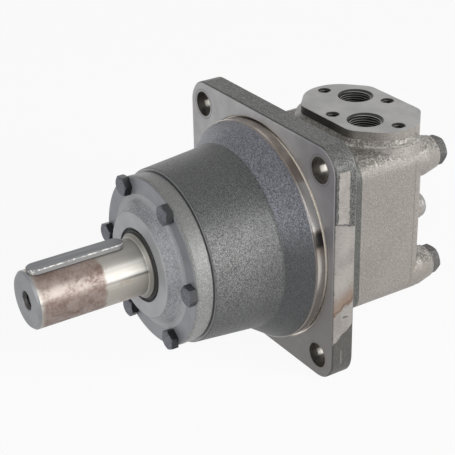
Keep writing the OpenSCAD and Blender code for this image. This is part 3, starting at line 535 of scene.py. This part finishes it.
def shaft_material():
    t = Tree("shaft_steel_look")
    y = t.xyz[1]
    streak = t.lines(3.0, 260.0, 10.0, 260.0)
    clean = t.mix(t.step(streak, 0.30, 0.70), *CLEAN)
    # Painted reflections by the angle about the shaft's axis: a highlight band, a lighter lower side, a
    # dark line that grows towards the lip, and painted shade on the top.
    clean = t.tint(clean, t.around(24.0, 38.0, 3.5), 0.85, CLEAN_HIGHLIGHT)
    clean = t.tint(clean, t.around(-120.0, 12.0, 3.0), 0.85, CLEAN_LOW_REFLECTION)
    near_lip = t.blend(t.step(y, -128.0, -108.0), 0.50, 0.95)
    clean = t.tint(clean, t.around(12.0, 16.0, 3.0), near_lip, CLEAN_DARK_REFLECTION)
    clean = t.tint(clean, t.around(44.0, 120.0, 4.0), 0.70, CLEAN_TOP_SHADE)
    spots = t.times(t.step(t.noise(75.0, 4.0, 0.7, dist=0.5), 0.54, 0.66), t.step(y, -108.0, -118.0))
    clean = t.tint(clean, spots, 0.35, CLEAN_SPOT)

    blot = t.noise(55.0, 5.0, 0.7, vec=t.scaled(1.0, 0.6, 1.0), dist=0.7)
    f = t.plus(t.times(blot, 0.7), t.times(t.noise(420.0, 3.0, 0.65), 0.3))
    stain = t.mix(t.step(f, 0.38, 0.64), *STAIN)
    # Painted highlight: the highlight band continued across the stains.
    stain = t.tint(stain, t.times(t.around(17.0, 42.0, 6.0), t.step(f, 0.40, 0.58)), 0.60, STAIN_HIGHLIGHT)
    rag = t.math("SUBTRACT", t.noise(120.0, 3.0, 0.6), 0.5)
    stained = t.times(t.step(t.plus(y, t.times(rag, 6.0)), -131.8, -134.8),
                      t.step(t.plus(y, t.times(blot, 10.0)), -176.0, -171.5))

    end_tone, rings = turned_layers(t, SHAFT_END, 3.2)
    front = t.step(y, -170.0, -172.0)
    end = t.times(t.step(t.nxyz[1], -0.4, -0.6), front)
    sink = t.times(t.step(t.radius(), 6.8, 6.5), front)
    grind = t.lines(2.0, 0.0, 2600.0, 0.0)
    color, ro, me, he = layered(t, [
        (None, t.mix(stained, clean, stain), t.blend(stained, 0.45, t.blend(f, 0.58, 0.42)),
         t.blend(stained, 0.95, 0.45), t.times(grind, 0.15)),
        (t.step(y, SHOULDER_Y - 0.5, SHOULDER_Y + 0.5), JOURNAL, 0.42, 0.70, t.times(grind, 0.10)),
        (end, end_tone, 0.42, 0.50, t.times(rings, 0.12)),
        (sink, SHAFT_SINK, 0.40, 0.7, t.times(rings, 0.05)),
    ])
    return t.done(color, ro, me, t.bump(he, 0.00012, 0.7))


def key_material():
    t = Tree("key_steel_look")
    nx = t.nxyz[0]
    streak = t.lines(3.0, 700.0, 18.0, 700.0)
    tone = t.mix(t.step(streak, 0.3, 0.7), *KEY)
    # Painted light: side faces lighter, a painted highlight along the edge and painted shade at the foot on
    # the shaft.
    tone = t.tint(tone, t.step(nx, 0.4, 0.8), 0.8, KEY_SIDE_LIT)
    edge = t.times(t.step(nx, 0.25, 0.45), t.step(nx, 0.95, 0.85))
    tone = t.tint(tone, edge, t.step(t.noise(500.0, 2.0), 0.42, 0.60), KEY_EDGE_HIGHLIGHT)
    tone = t.tint(tone, t.step(t.xyz[2], 20.0, 19.5), 0.85, KEY_FOOT_SHADE)
    return t.done(tone, t.blend(streak, 0.36, 0.50), 0.60, t.bump(streak, 0.00008, 0.6))


# Plain finishes
def steel(name, colors, rough, metal=0.9):
    t = Tree(name)
    grain = t.lines(3.0, 400.0, 400.0, 400.0)
    cloud = t.noise(60.0, 3.0)
    f = t.plus(t.times(grain, 0.6), t.times(cloud, 0.4))
    return t.done(t.mix(t.step(f, 0.35, 0.65), *colors), t.blend(cloud, rough - 0.06, rough + 0.08),
                  metal, t.bump(grain, 0.00006, 0.6))


STACK_OUTSIDE = (0.076, 0.078, 0.072), (0.150, 0.151, 0.140)


def stack_material(name, colors, rough, metal):
    """Steel inside, blasted gray-green on the square outside of the stacked plates."""
    t = Tree(name)
    x, _, z = t.xyz
    grain = t.noise(400.0, 3.0, 0.6)
    inner = t.mix(t.step(grain, 0.35, 0.65), *colors)
    tone, out_rough, height = grain_layers(t, STACK_OUTSIDE, 1000.0, 0.2)
    side = t.step(t.either(t.size(x), t.size(z)), BLOCK_HALF - 1.0, BLOCK_HALF - 0.2)
    corner = t.step(t.plus(t.size(x), t.size(z)), BLOCK_CORNER - 0.5, BLOCK_CORNER + 0.5)
    color, ro, me, he = layered(t, [
        (None, inner, rough, metal, t.times(grain, 0.1)),
        (t.either(side, corner), tone, out_rough, 0.20, height),
    ])
    return t.done(color, ro, me, t.bump(he, 0.0004, 0.8))


def coated(name, dark, light, rough, front=1.0, shade=0.80):
    """Dark coated bolt with painted light: front brightens the head's end face, shade darkens the facets to
    +X as painted shade.
    """
    t = Tree(name)
    nx, ny, _ = t.nxyz
    grain = t.noise(900.0, 3.0, 0.65)
    tone = t.mix(t.step(grain, 0.35, 0.7), dark, light)
    tone = t.tint(tone, t.step(t.noise(150.0, 3.0), 0.56, 0.70), 0.35, tuple(1.9 * v for v in light))
    # Painted shade: the facets turned to +X darker.
    away = t.times(t.step(nx, 0.15, 0.60), t.step(ny, -0.75, -0.35))
    tone = t.tint(tone, away, shade, tuple(0.4 * v for v in dark))
    # Painted light: the head's end face lighter.
    lit = t.times(t.step(ny, -0.75, -0.95), t.step(grain, 0.25, 0.6))
    tone = t.tint(tone, lit, 0.75, tuple(front * v for v in light))
    return t.done(tone, t.blend(grain, rough - 0.08, rough + 0.12), 0.20, t.bump(grain, 0.00015, 0.8))


def rubber(name):
    t = Tree(name)
    grain = t.noise(1500.0, 2.0, 0.6)
    return t.done(t.mix(grain, (0.012, 0.012, 0.012), (0.032, 0.031, 0.030)),
                  t.blend(grain, 0.48, 0.68), 0.0, t.bump(grain, 0.00005, 0.5))


LOOKS = {
    "housing_iron": housing_material(),
    "cover_iron": cover_material(),
    "body_iron": body_material(),
    "shaft_steel": shaft_material(),
    "key_steel": key_material(),
    "plate_steel": stack_material("plate_steel_look", ((0.20, 0.20, 0.205), (0.32, 0.32, 0.33)), 0.36, 0.8),
    "bolt_steel": coated("bolt_steel_look", (0.020, 0.021, 0.025), (0.062, 0.065, 0.077), 0.46, 3.6),
    "tie_bolt_steel": coated("tie_bolt_steel_look", (0.026, 0.025, 0.025), (0.180, 0.172, 0.160), 0.46,
                             shade=0.25),
    "black_rubber": rubber("black_rubber_look"),
    "bearing_steel": steel("bearing_steel_look", ((0.52, 0.52, 0.54), (0.68, 0.68, 0.70)), 0.16, 1.0),
    "cage_steel": steel("cage_steel_look", ((0.34, 0.32, 0.28), (0.50, 0.47, 0.42)), 0.36),
    "gear_steel": stack_material("gear_steel_look", ((0.40, 0.40, 0.42), (0.58, 0.58, 0.60)), 0.28, 0.9),
    "spring_steel": steel("spring_steel_look", ((0.26, 0.26, 0.27), (0.42, 0.42, 0.44)), 0.34),
    "plug_steel": steel("plug_steel_look", ((0.26, 0.255, 0.245), (0.40, 0.392, 0.378)), 0.48, 0.45),
    "copper_washer": steel("copper_washer_look", ((0.50, 0.24, 0.13), (0.72, 0.40, 0.24)), 0.36),
}
for part in frame["record"]["subparts"]:
    mesh = nodes[part["node"]].data
    mesh.materials.clear()
    mesh.materials.append(LOOKS[part["material_slot"]])


# Threads
THREAD_SHADE = (0.016, 0.016, 0.015), (0.036, 0.035, 0.034)
THREAD_HIGHLIGHT = (0.85, 0.84, 0.82)
FAR_MM = 1000.0


def cut_thread(name, crest_r, up, right):
    """Thread darkened as painted shade in its hole; up and right add painted highlights to its crests
    turned to +Z and its faces to +X.
    """
    t = Tree(name)
    x, y, z = t.xyz
    nx, _, nz = t.nxyz
    grain = t.noise(500.0, 3.0, 0.6)
    near = FAR_MM
    for cx, cy in PORTS.values():
        from_axis = t.length(t.math("SUBTRACT", x, cx), t.math("SUBTRACT", y, cy))
        near = t.math("MINIMUM", near, from_axis)
    crest = t.times(t.step(nz, 0.20, 0.55), t.step(near, crest_r + 0.4, crest_r + 0.2),
                    t.step(z, 54.5, 64.0), up)
    lit = t.either(crest, t.times(t.step(nx, 0.70, 0.90), t.step(z, 60.0, 66.0), right))
    tone = t.mix(lit, t.mix(grain, *THREAD_SHADE), THREAD_HIGHLIGHT)
    return t.done(tone, 0.36, 0.4, t.bump(grain, 0.00005, 0.5))


def thread(name, body, place, wall_r, pitch, depth, length, steps, look):
    """A helical ridge on the wall of a tapped hole, sizes in millimetres, steps in each turn.

    place maps local Z to the hole's axis. The ridge runs out over a quarter turn at both ends.
    """
    root, root_half, crest_half, least = 0.04, 0.44, 0.09, 0.05
    sections = int(length / pitch * steps)
    profile = ((root, -root_half), (-depth, -crest_half), (-depth, crest_half), (root, root_half))
    bm = bmesh.new()
    rows = []
    for i in range(sections + 1):
        a = 2 * math.pi * i / steps
        h = pitch * i / steps
        ease = min(1.0, i / (steps / 4), (sections - i) / (steps / 4))
        row = []
        for dr, dh in profile:
            r = wall_r + (dr if dr > 0 else dr * max(ease, least))
            at = Vector((r * math.cos(a), r * math.sin(a), h + dh * pitch)) * MM
            row.append(bm.verts.new(place @ at))
        rows.append(row)
    for p, q in zip(rows, rows[1:]):
        for j in range(4):
            k = (j + 1) % 4
            bm.faces.new((p[j], p[k], q[k], q[j]))
    bm.faces.new(rows[0][::-1])
    bm.faces.new(rows[-1])
    bmesh.ops.recalc_face_normals(bm, faces=bm.faces)
    mesh = bpy.data.meshes.new(name)
    bm.to_mesh(mesh)
    bm.free()
    mesh.materials.append(look)
    obj = bpy.data.objects.new(name, mesh)
    bpy.context.scene.collection.objects.link(obj)
    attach(obj, body)


PORT_THREAD_LOOK = cut_thread("port_thread_look", PORT_R - PORT_DEPTH, 0.55, 0.0)
SMALL_THREAD_LOOK = cut_thread("small_thread_look", 0.0, 0.0, 1.0)
PORT_THREAD_Z, PORT_THREAD_LEN = 53.4, 15.8
SMALL_THREAD_Z, SMALL_THREAD_LEN = 57.4, 12.2
END_THREAD_Y, END_THREAD_LEN = -178.4, 22.0
for tag, (px, py) in PORTS.items():
    thread("port_thread_" + tag, "housing",
           Matrix.Translation((px * MM, py * MM, PORT_THREAD_Z * MM)),
           PORT_R, PORT_PITCH, PORT_DEPTH, PORT_THREAD_LEN, 72, PORT_THREAD_LOOK)
    for n, (cx, cy) in enumerate(small_holes(px, py)):
        thread("manifold_thread_%s%d" % (tag, n + 1), "housing",
               Matrix.Translation((cx * MM, cy * MM, SMALL_THREAD_Z * MM)),
               SMALL_R, SMALL_PITCH, SMALL_DEPTH, SMALL_THREAD_LEN, 36, SMALL_THREAD_LOOK)
thread("shaft_end_thread", "shaft",
       Matrix.Translation((0.0, END_THREAD_Y * MM, 0.0)) @ Matrix.Rotation(math.radians(-90), 4, "X"),
       END_R, END_PITCH, END_DEPTH, END_THREAD_LEN, 40, PORT_THREAD_LOOK)


# Floor, world and lamps
FLOOR_HALF, FLOOR_DROP = 6.0, 0.0004
FLOOR_WHITE = 0.93
FLOOR_PAINT = (0.9, 0.9, 0.9, 1)
WHITE = (1, 1, 1, 1)
AMBIENT = 0.12
LAMP_TARGET = (0.0, -0.03, 0.0)
LAMPS = (
    ("key", (1.66, 0.66, 0.72), 1.2, 30.5),
    ("front", (0.3, -1.95, 0.10), 1.7, 19.0),
    ("left", (-1.9, 0.3, -0.1), 1.4, 6.0),
)


def plain_floor():
    """A floor that cameras and glossy rays see as nearly white, and that keeps the shadow."""
    bm = bmesh.new()
    low = cad_box[0][2] - FLOOR_DROP
    bm.faces.new([bm.verts.new((sx * FLOOR_HALF, sy * FLOOR_HALF, low))
                  for sx, sy in ((-1, -1), (1, -1), (1, 1), (-1, 1))])
    mesh = bpy.data.meshes.new("floor")
    bm.to_mesh(mesh)
    bm.free()
    obj = bpy.data.objects.new("floor", mesh)
    bpy.context.scene.collection.objects.link(obj)
    mat = bpy.data.materials.new("floor_look")
    mat.use_nodes = True
    nt = mat.node_tree
    nt.nodes.clear()
    out = nt.nodes.new("ShaderNodeOutputMaterial")
    path = nt.nodes.new("ShaderNodeLightPath")
    seen = nt.nodes.new("ShaderNodeMath")
    seen.operation = "MAXIMUM"
    nt.links.new(path.outputs["Is Camera Ray"], seen.inputs[0])
    nt.links.new(path.outputs["Is Glossy Ray"], seen.inputs[1])
    white = nt.nodes.new("ShaderNodeEmission")
    white.inputs["Color"].default_value = WHITE
    white.inputs["Strength"].default_value = 1.0
    paint = nt.nodes.new("ShaderNodeBsdfDiffuse")
    paint.inputs["Color"].default_value = FLOOR_PAINT
    share = nt.nodes.new("ShaderNodeMath")
    share.operation = "MULTIPLY"
    share.inputs[1].default_value = FLOOR_WHITE
    nt.links.new(seen.outputs[0], share.inputs[0])
    both = nt.nodes.new("ShaderNodeMixShader")
    nt.links.new(share.outputs[0], both.inputs[0])
    nt.links.new(paint.outputs[0], both.inputs[1])
    nt.links.new(white.outputs[0], both.inputs[2])
    nt.links.new(both.outputs[0], out.inputs[0])
    mesh.materials.append(mat)


def white_world(ambient):
    """White for camera, glossy and transmission rays, and a weak ambient light otherwise."""
    world = bpy.data.worlds.new("studio")
    bpy.context.scene.world = world
    world.use_nodes = True
    nt = world.node_tree
    nt.nodes.clear()
    out = nt.nodes.new("ShaderNodeOutputWorld")
    bg = nt.nodes.new("ShaderNodeBackground")
    bg.inputs["Color"].default_value = WHITE
    path = nt.nodes.new("ShaderNodeLightPath")
    seen = path.outputs["Is Camera Ray"]
    for other in ("Is Glossy Ray", "Is Transmission Ray"):
        n = nt.nodes.new("ShaderNodeMath")
        n.operation = "MAXIMUM"
        nt.links.new(seen, n.inputs[0])
        nt.links.new(path.outputs[other], n.inputs[1])
        seen = n.outputs[0]
    level = nt.nodes.new("ShaderNodeMapRange")
    level.inputs["To Min"].default_value = ambient
    level.inputs["To Max"].default_value = 1.0
    nt.links.new(seen, level.inputs["Value"])
    nt.links.new(level.outputs[0], bg.inputs["Strength"])
    nt.links.new(bg.outputs[0], out.inputs[0])


def lamp(name, place, size, power):
    data = bpy.data.lights.new(name, "AREA")
    data.shape = "SQUARE"
    data.size = size
    data.energy = power
    obj = bpy.data.objects.new(name, data)
    bpy.context.scene.collection.objects.link(obj)
    obj.location = place
    aim = (Vector(LAMP_TARGET) - obj.location).normalized()
    obj.rotation_euler = aim.to_track_quat("-Z", "Y").to_euler()


plain_floor()
white_world(AMBIENT)
for row in LAMPS:
    lamp(*row)


# The camera solved from the photograph: place, direction, roll and focal length
CAMERA_AT = (0.695733, -0.470771, 0.431795)
AZ, EL, ROLL = (math.radians(v) for v in (57.454, 27.219, -1.188))
FOCAL_PX, FRAME_PX, SENSOR_MM = 1326.926, 455.0, 36.0
back = Vector((math.sin(AZ) * math.cos(EL), -math.cos(AZ) * math.cos(EL), math.sin(EL)))
level_right = Vector((math.cos(AZ), math.sin(AZ), 0.0))
level_up = back.cross(level_right)
right = math.cos(ROLL) * level_right + math.sin(ROLL) * level_up
up = -math.sin(ROLL) * level_right + math.cos(ROLL) * level_up
cam_data = bpy.data.cameras.new("camera")
cam_data.sensor_width = SENSOR_MM
cam_data.sensor_fit = "HORIZONTAL"
cam_data.lens = FOCAL_PX * SENSOR_MM / FRAME_PX
cam = bpy.data.objects.new("camera", cam_data)
bpy.context.scene.collection.objects.link(cam)
turn = Matrix((right, up, back)).transposed()
cam.matrix_world = Matrix.Translation(CAMERA_AT) @ turn.to_4x4()
bpy.context.scene.camera = cam
bpy.context.scene.view_settings.view_transform = "Standard"
